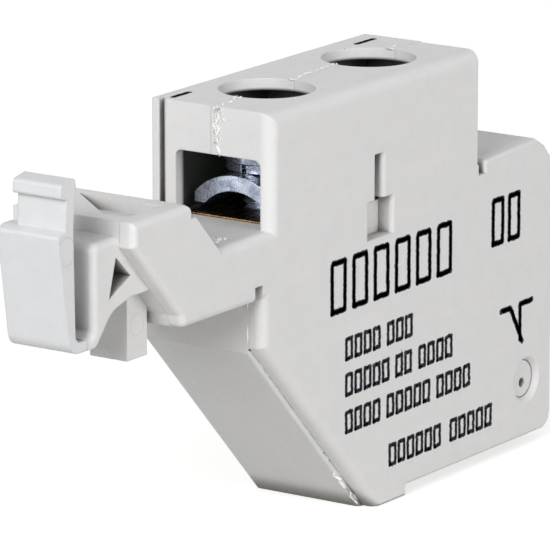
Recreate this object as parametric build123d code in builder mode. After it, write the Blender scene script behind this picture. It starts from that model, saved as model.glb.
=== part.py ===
from build123d import *
import os

os.makedirs("parts", exist_ok=True)

# Side profiles are drawn as (x, z): x from the left end face, z from the heel's underside.
# Depths run from the near side face (0) to the far side face (width).
width = 10.0
height = 30.9
upper_length = 26.4
terminal_depth = 8.25
right_x = 36.6
bottom_z = 0.8
heel_length = 3.9
profile_unit = 1.0

# Mouldings
cover_t = 1.2
end_wall = 1.0
top_wall = 0.85
far_wall = 1.1
near_in = 0.9
partition_t = 1.2
edge_r = 0.95
slope_edge_r = 0.75
slope_step = 0.3
slope_step_r = 0.29
ledge_edge_r = 0.65
nose_edge_r = 0.5
small_edge_r = 0.27
window_edge_r = 0.35
notch_edge_r = 0.3
far_edge_r = 0.2
corner_r = 1.2
cut_over = 0.1

# Terminals
access_r = 3.4
entry_height = 4.85
entry_far_wall = 2.05
entry_r = 0.5
floor_drop = 0.7
strip_t = 0.8
strip_side_gap = 0.9
leg_side_gap = 1.0
slot_gap = 0.1
leg_gap = 0.9
plate_inset = 0.7
hole_gap = 0.2
screw_r = 1.7
thread_gap = 0.06
clamp_end_gap = 1.9
clamp_side_gap = 0.6
clamp_bulge = 0.1
clamp_t = 1.1
clamp_foot_gap = 0.45
clamp_rise = 1.1
clamp_hole_gap = 0.25
washer_t = 0.6
washer_inset = 0.15
washer_gap = 0.15
washer_slit = 0.35
washer_angle = 20
head_inset = 0.4
head_h = 2.1
head_round = 0.7
recess_w = 0.9
recess_len = 4.2
recess_depth = 1.3
shank_len = 5.6
shank_chamfer = 0.3
well_depth = 0.8
well_gap = 0.3
nut_wall = 1.2
nut_t = 2.0
nut_gap = 0.1
nut_chamfer = 0.3

# Contact chamber and moving contact
chamber_z0 = 2.0
chamber_wall = 1.2
chamber_roof = 2.95
travel = 2.4
heel_gap = 0.5
plunger_tx = 3.2
plunger_ty = 4.8
foot_tx = 2.8
foot_ty = 4.0
foot_z = 0.25
foot_chamfer = 0.2
cheek_gap = 0.2
plunger_web = 1.2
lift_room = 1.0
guide_gap = 0.1
guide_t = 0.8
guide_lift = 0.58
rest_gap = 0.03
arm_share = 0.383
contact_share = 0.304
arm_overlap = 0.1
tip_r = 1.0
tip_h = 0.7
tip_round = 0.2
touch_gap = 0.02
bridge_t = 0.7
bridge_w = 3.0
bridge_near_gap = 0.3
bridge_share = 0.794
bridge_r = 0.6
tip_inset = 1.1
bar_t = 1.3
spring_wire = 0.3
spring_gap = 0.01
contact_r = 1.05
contact_turns = 5
return_r = 1.25
return_turns = 4
spigot_gap = 0.15
spigot_h = 0.6

# Dowel, snap window and post
dowel_inset = 3.4
dowel_rise = 4.25
dowel_r = 1.36
dowel_gap = 0.06
dowel_sunk = 0.45
dimple_drop = 0.3
dimple_r = 0.35
dimple_depth = 0.4
sink_r = 1.7
sink_depth = 0.5
sink_angle = 35
sink_edge_r = 0.2
window_shift = 0.3
window_w = 3.2
window_h = 2.8
window_drop = 1.6
window_slot_shift = 0.15
window_slot_w = 1.1
window_slot_h = 3.4
window_slot_lift = 1.35
window_slot_depth = 0.75
tongue_shift = 0.8
tongue_w = 0.8
tongue_h = 1.4
tongue_sunk = 0.9
groove_inset = 0.94
groove_w = 0.5
groove_depth = 0.6
post_y0 = 2.5
post_t = 3.05

# Snap latch on the nose
latch_far_gap = 3.8
tab_step = 1.1
pivot_x = -19.93
pivot_drop = 3.9
hinge_r = 0.35
hinge_gap = 0.04
limb_edge_r = 0.5

mid = width / 2
ledge_z = height - terminal_depth
block_mid = upper_length / 2
far_in = width - far_wall
chamber_top = height - top_wall
floor_z = ledge_z - floor_drop
chamber_z1 = floor_z - chamber_roof
part_x0 = block_mid - partition_t / 2
part_x1 = block_mid + partition_t / 2
bay_half = (part_x0 - end_wall) / 2
bays = ((end_wall, part_x0), (part_x1, upper_length - end_wall))
beds = ((end_wall + plate_inset - slot_gap, part_x0), (part_x1, upper_length - end_wall))
screw_x = (end_wall + bay_half, upper_length - end_wall - bay_half)
entry_z = ledge_z + (entry_height - entry_r) / 2
entry_y = (near_in + width - entry_far_wall) / 2
entry_w = width - entry_far_wall - near_in
strip_w = far_in - near_in - 2 * strip_side_gap
leg_w = strip_w - 2 * leg_side_gap
nut_w = 2 * (screw_r + nut_wall)
leg_x = (screw_x[0] + nut_w / 2 + leg_gap, upper_length - end_wall - slot_gap - strip_t)
bridge_half = bridge_share * (leg_x[1] - leg_x[0] - strip_t) / 2
tip_offset = bridge_half - tip_inset
arm_reach = tip_offset - tip_r - arm_overlap
plunger_x = leg_x[1] - bridge_near_gap - bridge_half
heel_x1 = plunger_x - foot_tx / 2 - heel_gap
heel_x0 = heel_x1 - heel_length
heel_mid = (heel_x0 + heel_x1) / 2
plunger_z = chamber_z0 + rest_gap
contact_stack = strip_t + 2 * tip_h + touch_gap
free_height = chamber_z1 - chamber_z0 - contact_stack - bridge_t - bar_t
arm_z = chamber_z0 + arm_share * free_height
bridge_z = arm_z + contact_stack
contact_len = contact_share * free_height
guide_len = chamber_z1 - bridge_z - bridge_t - travel - guide_lift
bar_z0 = bridge_z + bridge_t + contact_len
bar_z1 = bar_z0 + bar_t
web_z = plunger_z + plunger_web
lift_z = bridge_z - lift_room
spigot_r = return_r - spring_wire / 2 - spigot_gap
clamp_half_x = bay_half - clamp_end_gap
clamp_half_y = (far_in - near_in) / 2 - clamp_side_gap
clamp_in_r = clamp_half_y + clamp_bulge
clamp_foot_z = floor_z + strip_t + clamp_foot_gap
clamp_crown = clamp_foot_z + clamp_rise
washer_z = clamp_crown + clamp_t
head_z = washer_z + washer_t
shank_z = head_z - shank_len
screw_head_r = access_r - head_inset
washer_r = screw_head_r - washer_inset
dowel = (right_x - dowel_inset, bottom_z + dowel_rise)
latch_y0 = cover_t
latch_y1 = width - latch_far_gap
tab_y1 = latch_y1 - tab_step
pivot_z = ledge_z - pivot_drop

side = Plane(origin=(-heel_mid, -mid, 0), x_dir=(1, 0, 0), z_dir=(0, -1, 0))
plan = Plane(origin=(-heel_mid, -mid, 0), x_dir=(1, 0, 0), z_dir=(0, 0, 1))
end = Plane(origin=(-heel_mid, -mid, 0), x_dir=(0, 1, 0), z_dir=(1, 0, 0))


def placed(points, x, z):
    """Profile points given as offsets from an anchor, in profile units."""
    return [(x + dx * profile_unit, z + dz * profile_unit) for dx, dz in points]


# Nose as offsets from the corner of the left ledge: underside, slanted end, top, slant and lip
nose = placed([
    (-0.96, -8.1), (-0.96, -4.58), (-10.3, -4.58), (-10.6, -3.7), (-16.0, 2.0),
    (-16.0, 3.75), (-9.6, 3.75), (-6.0, 0), (0, 0),
], 0, ledge_z)
# Lip and bevel at the upper right corner of the low block, as offsets from that corner
bevel = placed([(-2.4, 0.3), (-1.15, -0.4), (0, -1.65)], right_x, ledge_z)
low_ledge = placed([(0, -0.1)], upper_length, ledge_z)
# Outline shared by both mouldings, clockwise from the top left corner
outline = [
    (0, height), (upper_length, height), *low_ledge, *bevel, (right_x, bottom_z),
    (heel_x1, bottom_z), (heel_x1, 0), (heel_x0, 0), *nose,
]
# Strip by which the far moulding's slope stands proud of the near one's
slope_run = heel_x0 - nose[0][0]
slope_len = (slope_run ** 2 + nose[0][1] ** 2) ** 0.5
slope_strip = [
    (heel_x0, 0), nose[0], (nose[0][0], nose[0][1] - slope_step * slope_len / slope_run),
    (heel_x0 - slope_step * slope_len / nose[0][1], 0),
]
# Chamber of the moving contact, a wall thickness inside the outline
chamber = [
    (chamber_wall, chamber_z1), *placed([(0, -8.85)], chamber_wall, ledge_z), (heel_x0, chamber_z0),
    (right_x - chamber_wall, chamber_z0),
    *placed([(0, -2.05), (-1.1, -1.25)], right_x - chamber_wall, ledge_z),
    *placed([(0.8, -1.25)], upper_length, ledge_z), *placed([(0.8, 0)], upper_length, chamber_z1),
]
# Hollow of the nose, open towards the cover
nose_hollow = placed(
    [(-9.9, -3.35), (-14.4, 1.45), (-9.2, 1.45), (-6.6, -1.35), (-2.2, -1.35), (-2.2, -3.35)], 0, ledge_z)
# Trough in the top of the nose, as (x, depth), with one slanting end
trough_rise = 2.8
trough_depth = 2.0
trough = [
    *placed([(-14.6, 3.6), (-14.6, 1.5), (-10.6, 1.5)], 0, 0), *placed([(-10.6, -1.6)], 0, width),
]
# Post under the nose
post = placed([(-13.4, -6.55), (-11.1, -6.55), (-11.1, -2.85), (-13.4, -0.45)], 0, ledge_z)
# Relief slots in the near side: under the nose, on its step and beside the upper block
relief_h = 1.3
under_relief_w = 0.95
step_relief_w = 1.2
notch_w = 0.9
notch_h = 2.0
under_relief, step_relief = placed([(-1.435, -4.15), (-8.85, 3.45)], 0, ledge_z)
reliefs = (
    (*under_relief, under_relief_w, relief_h),
    (*step_relief, step_relief_w, relief_h),
    (upper_length + notch_w / 2, ledge_z, notch_w, notch_h),
)
# Fixed limb of the latch as offsets from the hinge: limb, strut and web, hung on the nose
latch_frame = placed([
    (0, -0.35), (0, 0.35), (1.03, 0.35), (1.03, 6.6), (4.33, 6.6), (4.33, 5.48), (7.33, 2.31), (5.23, 2.3),
    (3.0, 1.7), (1.25, -0.35),
], pivot_x, pivot_z)
# Roundings of its corners in the same order
frame_rounds = (0, 0, 0.45, 0.6, 0, 0, 0, 0, 2.2, 0.6)
latch_window = placed([(3.53, 5.3), (5.18, 3.75), (2.73, 2.55)], pivot_x, pivot_z)
# Sprung limb of the latch with its catch ledge and, above the ledge, the release tab
latch_lever_side = placed([
    (0, -0.35), (-1.6, -0.35), (-2.82, 7.85), (-2.02, 8.1), (-1.92, 10.2), (-2.52, 10.35), (-2.45, 11.25),
    (-1.0, 11.55), (-0.85, 11.0), (-1.17, 8.15), (-1.02, 0.35), (0, 0.35),
], pivot_x, pivot_z)
lever_rounds = (0, 1.0, 0.25, 0, 0, 0.25, 0.3, 0.25, 0, 0, 0.6, 0)
tab_foot = 8.1

# Rounding of the near side's rim: a radius, then windows (x0, x1, z0, z1) round its edges' middles
rim_rounds = (
    (edge_r, ((-edge_r, upper_length - edge_r, ledge_z + edge_r, height + edge_r),)),
    (slope_edge_r, ((-2 * edge_r, heel_x0, bottom_z + edge_r, nose[1][1]),)),
    (ledge_edge_r, ((nose[7][0], nose[8][0], ledge_z - edge_r, ledge_z + edge_r),)),
    (nose_edge_r, ((nose[5][0] - edge_r, nose[2][0], nose[1][1], nose[5][1]),
                   (nose[6][0], -edge_r, nose[1][1] - edge_r, nose[1][1] + edge_r))),
    (small_edge_r, ((upper_length - edge_r, upper_length + edge_r, ledge_z + edge_r, height + edge_r),
                    (nose[6][0], nose[7][0], ledge_z, nose[6][1]),
                    (upper_length + edge_r, right_x, -edge_r, ledge_z + edge_r),
                    (heel_x0, right_x - edge_r, -edge_r, bottom_z + edge_r))),
)

window_x1 = block_mid + window_shift + window_w / 2
slot_x1 = block_mid + window_slot_shift + window_slot_w / 2
window_z1 = ledge_z - window_drop + window_h / 2
notch_x1 = upper_length + notch_w
# Rounded edges of the cut-outs: a window (x0, x1, z0, z1) round their middles, and a radius
hole_rounds = (
    (notch_x1 - cut_over, notch_x1 + cut_over, ledge_z - notch_h / 2, ledge_z, notch_edge_r),
    (slot_x1 - cut_over, slot_x1 + cut_over, window_z1, window_z1 + window_slot_h, window_edge_r),
    (window_x1 - cut_over, window_x1 + cut_over, window_z1 - window_h, window_z1, window_edge_r),
    (dowel[0] - sink_r, dowel[0] + sink_r, dowel[1] - sink_r, dowel[1] + sink_r, sink_edge_r),
)

# Far moulding: deep shell with the nose, the fixed latch limb, the post and the heel
with BuildPart() as base_housing:
    with BuildSketch(side.offset(-cover_t)) as base_face:
        with BuildLine():
            Polyline(outline, close=True)
        make_face()
        fillet(base_face.vertices().sort_by_distance((right_x, bottom_z, 0))[0], corner_r)
        with BuildLine():
            Polyline(slope_strip, close=True)
        make_face()
    extrude(amount=-(width - cover_t))
    fillet(base_housing.faces().sort_by(Axis.Y)[-1].edges(), far_edge_r)
    slope_mid = ((nose[0][0] + heel_x0) / 2 - heel_mid, cover_t - mid, nose[0][1] / 2)
    fillet(base_housing.edges().sort_by_distance(slope_mid)[0], slope_step_r)
    # The near half of the terminal block belongs to the cover
    with BuildSketch(side.offset(-cover_t)):
        with Locations((block_mid, ledge_z + terminal_depth)):
            Rectangle(upper_length + 2 * cut_over, 2 * terminal_depth)
    extrude(amount=-(mid - cover_t), mode=Mode.SUBTRACT)
    # Two terminal chambers with a partition between them
    for x0, x1 in bays:
        with BuildSketch(side.offset(-cover_t)):
            with Locations(((x0 + x1) / 2, (ledge_z + chamber_top) / 2)):
                Rectangle(x1 - x0, chamber_top - ledge_z)
        extrude(amount=-(far_in - cover_t), mode=Mode.SUBTRACT)
    # Beds of the contact strips in the chambers' floors
    for x0, x1 in beds:
        with BuildSketch(side.offset(-cover_t)):
            with Locations(((x0 + x1) / 2, (floor_z + ledge_z) / 2)):
                Rectangle(x1 - x0, ledge_z - floor_z)
        extrude(amount=-(far_in - cover_t), mode=Mode.SUBTRACT)
    # Chamber of the moving contact
    with BuildSketch(side.offset(-cover_t)):
        with BuildLine():
            Polyline(chamber, close=True)
        make_face()
    extrude(amount=-(far_in - cover_t), mode=Mode.SUBTRACT)
    # Hollow of the nose
    with BuildSketch(side.offset(-cover_t)):
        with BuildLine():
            Polyline(nose_hollow, close=True)
        make_face()
    extrude(amount=-(far_in - cover_t), mode=Mode.SUBTRACT)
    with BuildSketch(plan.offset(ledge_z + trough_rise)):
        with BuildLine():
            Polyline(trough, close=True)
        make_face()
    extrude(amount=trough_depth, mode=Mode.SUBTRACT)
    # Pockets for the clamp nuts, wells for the screw ends, slots for the strip legs
    for x in screw_x:
        with BuildSketch(side.offset(-cover_t)):
            with Locations((x, floor_z - (nut_t + nut_gap) / 2)):
                Rectangle(nut_w + 2 * nut_gap, nut_t + nut_gap)
        extrude(amount=-(mid + nut_w / 2 + nut_gap - cover_t), mode=Mode.SUBTRACT)
        with BuildSketch(plan.offset(shank_z - well_depth)):
            with Locations((x, mid)):
                Circle(screw_r + well_gap)
        extrude(amount=well_depth, mode=Mode.SUBTRACT)
    for x in leg_x:
        with BuildSketch(side.offset(-cover_t)):
            with Locations((x + strip_t / 2, (chamber_z1 + floor_z) / 2)):
                Rectangle(strip_t + 2 * slot_gap, floor_z - chamber_z1 + 2 * cut_over)
        extrude(amount=-(mid + leg_w / 2 + slot_gap - cover_t), mode=Mode.SUBTRACT)
    # Opening for the plunger's foot
    with BuildSketch(plan.offset(bottom_z - cut_over)):
        with Locations((plunger_x, mid)):
            Rectangle(foot_tx + 2 * guide_gap, foot_ty + 2 * guide_gap)
    extrude(amount=chamber_z0 - bottom_z + 2 * cut_over, mode=Mode.SUBTRACT)
    # Guide ribs beside the plunger's head, and the spigot that centres its return spring
    for sign in (-1, 1):
        rib_x = plunger_x + sign * (plunger_tx / 2 + guide_gap + guide_t / 2)
        with BuildSketch(side.offset(-cover_t)):
            with Locations((rib_x, chamber_z1 - guide_len / 2)):
                Rectangle(guide_t, guide_len)
        extrude(amount=-(far_in - cover_t))
    with BuildSketch(plan.offset(chamber_z1)):
        with Locations((plunger_x, mid)):
            Circle(spigot_r)
    extrude(amount=-spigot_h)
    # Dowel that passes through the cover, with a dimple in its end
    with BuildSketch(side.offset(-dowel_sunk)):
        with Locations(dowel):
            Circle(dowel_r)
    extrude(amount=-(width - dowel_sunk - far_wall / 2))
    with BuildSketch(side.offset(-dowel_sunk)):
        with Locations((dowel[0], dowel[1] - dimple_drop)):
            Circle(dimple_r)
    extrude(amount=-dimple_depth, mode=Mode.SUBTRACT)
    # Tongue of the partition that snaps into the cover's window
    with BuildSketch(side.offset(-tongue_sunk)):
        with Locations((block_mid - tongue_shift, ledge_z - window_drop - cut_over / 2)):
            Rectangle(tongue_w, tongue_h)
    extrude(amount=-cover_t)
    # Left and right wire entries, far half; their lower corners are square at the ledge
    for x in (0, upper_length - end_wall):
        with BuildSketch(end.offset(x - cut_over)):
            with Locations((entry_y, entry_z)):
                RectangleRounded(entry_w, entry_height + entry_r, entry_r)
            with Locations((mid / 2, height / 2)):
                Rectangle(mid, height, mode=Mode.SUBTRACT)
            with Locations((mid, ledge_z / 2)):
                Rectangle(width, ledge_z, mode=Mode.SUBTRACT)
        extrude(amount=end_wall + 2 * cut_over, mode=Mode.SUBTRACT)
    # Screwdriver access holes through the top wall
    with BuildSketch(plan.offset(chamber_top - cut_over)):
        with Locations(*[(x, mid) for x in screw_x]):
            Circle(access_r)
    extrude(amount=top_wall + 2 * cut_over, mode=Mode.SUBTRACT)
    # Narrow groove down the left end face
    with BuildSketch(end.offset(-groove_depth)):
        with Locations((width - groove_inset, ledge_z + terminal_depth)):
            Rectangle(groove_w, 2 * terminal_depth)
    extrude(amount=2 * groove_depth, mode=Mode.SUBTRACT)
    # Fixed limb of the latch, its inner edge rounded; its end is hollowed round the sprung limb's hinge
    with BuildSketch(side.offset(-latch_y0)) as frame_side:
        with BuildLine():
            Polyline(latch_frame, close=True)
        make_face()
        for corner, radius in zip(latch_frame, frame_rounds):
            if radius:
                fillet(frame_side.vertices().sort_by_distance((*corner, 0))[0], radius * profile_unit)
        with BuildLine():
            Polyline(latch_window, close=True)
        make_face(mode=Mode.SUBTRACT)
        with Locations((pivot_x, pivot_z)):
            Circle(hinge_r + hinge_gap, mode=Mode.SUBTRACT)
    extrude(amount=-(latch_y1 - latch_y0))
    limb_mid = (latch_frame[2][0] - heel_mid, latch_y0 - mid, (latch_frame[2][1] + latch_frame[3][1]) / 2)
    fillet(base_housing.edges().sort_by_distance(limb_mid)[0], limb_edge_r)
    # Post under the nose
    with BuildSketch(side.offset(-post_y0)):
        with BuildLine():
            Polyline(post, close=True)
        make_face()
    extrude(amount=-post_t)
base_housing.part.label = "base_housing"
export_step(base_housing.part, "parts/base_housing.step")

# Near moulding: printed side face with rounded edges and the near half of the terminal block
with BuildPart() as cover:
    with BuildSketch(side) as cover_face:
        with BuildLine():
            Polyline(outline, close=True)
        make_face()
        fillet(cover_face.vertices().sort_by_distance((right_x, bottom_z, 0))[0], corner_r)
    extrude(amount=-cover_t)
    with BuildSketch(side.offset(-cover_t)):
        with Locations((block_mid, (ledge_z + height) / 2)):
            Rectangle(upper_length, terminal_depth)
    extrude(amount=-(mid - cover_t))
    # The rim is well rounded on the terminal block and slope, less on the nose, little elsewhere
    for radius, windows in rim_rounds:
        for x0, x1, z0, z1 in windows:
            rim = cover.faces().sort_by(Axis.Y)[0].edges()
            rim = rim.filter_by_position(Axis.X, x0 - heel_mid, x1 - heel_mid)
            fillet(rim.filter_by_position(Axis.Z, z0, z1), radius)
    # Terminal chambers and wire entries, open below onto the far moulding's floor
    for x0, x1 in bays:
        with BuildSketch(side.offset(-near_in)):
            with Locations(((x0 + x1) / 2, (ledge_z + chamber_top) / 2)):
                Rectangle(x1 - x0, chamber_top - ledge_z)
        extrude(amount=-mid, mode=Mode.SUBTRACT)
    for x in (0, upper_length - end_wall):
        with BuildSketch(end.offset(x - cut_over)):
            with Locations((entry_y, entry_z)):
                RectangleRounded(entry_w, entry_height + entry_r, entry_r)
            with Locations((mid, ledge_z / 2)):
                Rectangle(width, ledge_z, mode=Mode.SUBTRACT)
        extrude(amount=end_wall + 2 * cut_over, mode=Mode.SUBTRACT)
    with BuildSketch(plan.offset(chamber_top - cut_over)):
        with Locations(*[(x, mid) for x in screw_x]):
            Circle(access_r)
    extrude(amount=top_wall + 2 * cut_over, mode=Mode.SUBTRACT)
    # Snap window: a narrow slot above a wider pocket
    with BuildSketch(side.offset(cut_over)):
        with Locations((block_mid + window_shift, ledge_z - window_drop)):
            Rectangle(window_w, window_h)
    extrude(amount=-(cover_t + 2 * cut_over), mode=Mode.SUBTRACT)
    with BuildSketch(side.offset(cut_over)):
        with Locations((block_mid + window_slot_shift, ledge_z + window_slot_lift)):
            Rectangle(window_slot_w, window_slot_h)
    extrude(amount=-(window_slot_depth + cut_over), mode=Mode.SUBTRACT)
    # Dowel hole with a countersink
    with BuildSketch(side.offset(cut_over)):
        with Locations(dowel):
            Circle(dowel_r + dowel_gap)
    extrude(amount=-(cover_t + 2 * cut_over), mode=Mode.SUBTRACT)
    with BuildSketch(side):
        with Locations(dowel):
            Circle(sink_r)
    extrude(amount=-sink_depth, taper=sink_angle, mode=Mode.SUBTRACT)
    with BuildSketch(side.offset(cut_over)):
        for x, z, relief_w, relief_h in reliefs:
            with Locations((x, z)):
                Rectangle(relief_w, relief_h)
    extrude(amount=-(cover_t + 2 * cut_over), mode=Mode.SUBTRACT)
    # The right edges of the notch and window and the countersink's rim are rounded
    for x0, x1, z0, z1, radius in hole_rounds:
        rim = cover.faces().sort_by(Axis.Y)[0].edges()
        rim = rim.filter_by_position(Axis.X, x0 - heel_mid, x1 - heel_mid)
        fillet(rim.filter_by_position(Axis.Z, z0, z1), radius)
cover.part.label = "cover"
export_step(cover.part, "parts/cover.step")

# Sprung limb of the latch; it bends about the thin bottom of the U
with BuildPart() as latch_lever:
    with BuildSketch(side.offset(-latch_y0)) as lever_side:
        with BuildLine():
            Polyline(latch_lever_side, close=True)
        make_face()
        for corner, radius in zip(latch_lever_side, lever_rounds):
            if radius:
                fillet(lever_side.vertices().sort_by_distance((*corner, 0))[0], radius * profile_unit)
        with Locations((pivot_x, pivot_z)):
            Circle(hinge_r)
    extrude(amount=-(latch_y1 - latch_y0))
    # The release tab is a step narrower than the limb
    with BuildSketch(side.offset(-tab_y1)):
        with Locations((pivot_x, pivot_z + tab_foot + height / 2)):
            Rectangle(width, height)
    extrude(amount=-(latch_y1 - tab_y1 + cut_over), mode=Mode.SUBTRACT)
latch_lever.part.label = "latch_lever"
export_step(latch_lever.part, "parts/latch_lever.step")

for index, x in enumerate(screw_x, start=1):
    # Pan head terminal screw with a combined cross and slot recess
    with BuildPart() as terminal_screw:
        with BuildSketch(plan.offset(head_z)):
            with Locations((x, mid)):
                Circle(screw_head_r)
        extrude(amount=head_h)
        fillet(terminal_screw.faces().sort_by(Axis.Z)[-1].edges(), head_round)
        with BuildSketch(plan.offset(head_z + head_h - recess_depth)):
            with Locations((x, mid)):
                Rectangle(recess_len, recess_w)
                Rectangle(recess_w, recess_len)
        extrude(amount=recess_depth + cut_over, mode=Mode.SUBTRACT)
        with BuildSketch(plan.offset(shank_z)):
            with Locations((x, mid)):
                Circle(screw_r)
        extrude(amount=shank_len)
        chamfer(terminal_screw.faces().sort_by(Axis.Z)[0].edges(), shank_chamfer)
    terminal_screw.part.label = f"terminal_screw_{index}"
    export_step(terminal_screw.part, f"parts/terminal_screw_{index}.step")

    # Arched saddle clamp
    with BuildPart() as saddle_clamp:
        with BuildSketch(end.offset(x - clamp_half_x)):
            with Locations((mid, clamp_crown - clamp_in_r)):
                Circle(clamp_in_r + clamp_t)
                Circle(clamp_in_r, mode=Mode.SUBTRACT)
            with Locations((mid, clamp_foot_z + clamp_in_r)):
                Rectangle(2 * clamp_half_y, 2 * clamp_in_r, mode=Mode.INTERSECT)
        extrude(amount=2 * clamp_half_x)
        with BuildSketch(plan.offset(clamp_foot_z)):
            with Locations((x, mid)):
                Circle(screw_r + clamp_hole_gap)
        extrude(amount=clamp_in_r, mode=Mode.SUBTRACT)
    saddle_clamp.part.label = f"saddle_clamp_{index}"
    export_step(saddle_clamp.part, f"parts/saddle_clamp_{index}.step")

    # Split spring washer between the clamp and the head
    with BuildPart() as spring_washer:
        with BuildSketch(plan.offset(washer_z)):
            with Locations((x, mid)):
                Circle(washer_r)
                Circle(screw_r + washer_gap, mode=Mode.SUBTRACT)
            with Locations((x - washer_r, mid)):
                Rectangle(2 * (washer_r - screw_r), washer_slit, rotation=washer_angle, mode=Mode.SUBTRACT)
        extrude(amount=washer_t)
    spring_washer.part.label = f"spring_washer_{index}"
    export_step(spring_washer.part, f"parts/spring_washer_{index}.step")

    # Square nut under the contact strip
    with BuildPart() as clamp_nut:
        with BuildSketch(plan.offset(floor_z - nut_t)):
            with Locations((x, mid)):
                Rectangle(nut_w, nut_w)
                Circle(screw_r + thread_gap, mode=Mode.SUBTRACT)
        extrude(amount=nut_t)
        chamfer(clamp_nut.edges().filter_by(Axis.Z).filter_by(GeomType.LINE), nut_chamfer)
    clamp_nut.part.label = f"clamp_nut_{index}"
    export_step(clamp_nut.part, f"parts/clamp_nut_{index}.step")

# Fixed contact strips: plate under the clamp, leg through the floor, arm to the contact
for index, (x0, plate_x) in enumerate(zip(leg_x, (end_wall + plate_inset, part_x1 + plate_inset)), start=1):
    sign = 2 * index - 3
    arm_x = plunger_x + sign * arm_reach
    arm_x0 = min(x0, arm_x)
    arm_x1 = max(x0 + strip_t, arm_x)
    tip_x = plunger_x + sign * tip_offset
    with BuildPart() as contact_strip:
        with BuildSketch(plan.offset(floor_z)):
            with Locations(((plate_x + x0 + strip_t) / 2, mid)):
                Rectangle(x0 + strip_t - plate_x, strip_w)
            with Locations((screw_x[index - 1], mid)):
                Circle(screw_r + hole_gap, mode=Mode.SUBTRACT)
        extrude(amount=strip_t)
        with BuildSketch(side.offset(-(mid - leg_w / 2))):
            with Locations((x0 + strip_t / 2, (arm_z + floor_z) / 2)):
                Rectangle(strip_t, floor_z - arm_z)
            with Locations(((arm_x0 + arm_x1) / 2, arm_z + strip_t / 2)):
                Rectangle(arm_x1 - arm_x0, strip_t)
        extrude(amount=-leg_w)
    contact_strip.part.label = f"contact_strip_{index}"
    export_step(contact_strip.part, f"parts/contact_strip_{index}.step")

    with BuildPart() as contact_tip:
        with BuildSketch(plan.offset(arm_z + strip_t)):
            with Locations((tip_x, mid)):
                Circle(tip_r)
        extrude(amount=tip_h)
        fillet(contact_tip.faces().sort_by(Axis.Z)[-1].edges(), tip_round)
    contact_tip.part.label = f"contact_tip_{index}"
    export_step(contact_tip.part, f"parts/contact_tip_{index}.step")

    with BuildPart() as bridge_tip:
        with BuildSketch(plan.offset(bridge_z - tip_h)):
            with Locations((tip_x, mid)):
                Circle(tip_r)
        extrude(amount=tip_h)
        fillet(bridge_tip.faces().sort_by(Axis.Z)[0].edges(), tip_round)
    bridge_tip.part.label = f"bridge_tip_{index}"
    export_step(bridge_tip.part, f"parts/bridge_tip_{index}.step")

# Moving contact bridge
with BuildPart() as contact_bridge:
    with BuildSketch(plan.offset(bridge_z)):
        with Locations((plunger_x, mid)):
            RectangleRounded(2 * bridge_half, bridge_w, bridge_r)
    extrude(amount=bridge_t)
contact_bridge.part.label = "contact_bridge"
export_step(contact_bridge.part, "parts/contact_bridge.step")

# Plunger: foot, two cheeks, a bar below the bridge and a head bar above it
with BuildPart() as plunger:
    with BuildSketch(end.offset(plunger_x - plunger_tx / 2)):
        with Locations((mid, (plunger_z + bar_z1) / 2)):
            Rectangle(plunger_ty, bar_z1 - plunger_z)
        with Locations((mid, (bridge_z + bar_z0) / 2)):
            Rectangle(bridge_w + cheek_gap, bar_z0 - bridge_z, mode=Mode.SUBTRACT)
        with Locations((mid, (web_z + lift_z) / 2)):
            Rectangle(bridge_w + cheek_gap, lift_z - web_z, mode=Mode.SUBTRACT)
    extrude(amount=plunger_tx)
    with BuildSketch(plan.offset(foot_z)):
        with Locations((plunger_x, mid)):
            Rectangle(foot_tx, foot_ty)
    extrude(amount=plunger_z - foot_z)
    chamfer(plunger.faces().sort_by(Axis.Z)[0].edges(), foot_chamfer)
    with BuildSketch(plan.offset(bar_z1)):
        with Locations((plunger_x, mid)):
            Circle(spigot_r)
    extrude(amount=spigot_h)
plunger.part.label = "plunger"
export_step(plunger.part, "parts/plunger.step")

# Coil springs: one presses the bridge down, one returns the plunger
springs = (
    ("contact_spring", contact_r, contact_turns, bridge_z + bridge_t, bar_z0),
    ("return_spring", return_r, return_turns, bar_z1, chamber_z1),
)
for name, coil_r, turns, z0, z1 in springs:
    coil_len = z1 - z0 - spring_wire - 2 * spring_gap
    coil_z = z0 + spring_wire / 2 + spring_gap
    with BuildPart() as spring:
        with BuildLine() as coil:
            Helix(coil_len / turns, coil_len, coil_r, center=(plunger_x - heel_mid, 0, coil_z))
        with BuildSketch(Plane(origin=coil.line @ 0, z_dir=coil.line % 0)):
            Circle(spring_wire / 2)
        sweep(is_frenet=True)
    spring.part.label = name
    export_step(spring.part, f"parts/{name}.step")
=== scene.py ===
"""Looks of a clip-on auxiliary contact block: moulded housing, terminals, marking, mould flash and stage."""
from types import SimpleNamespace

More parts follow.
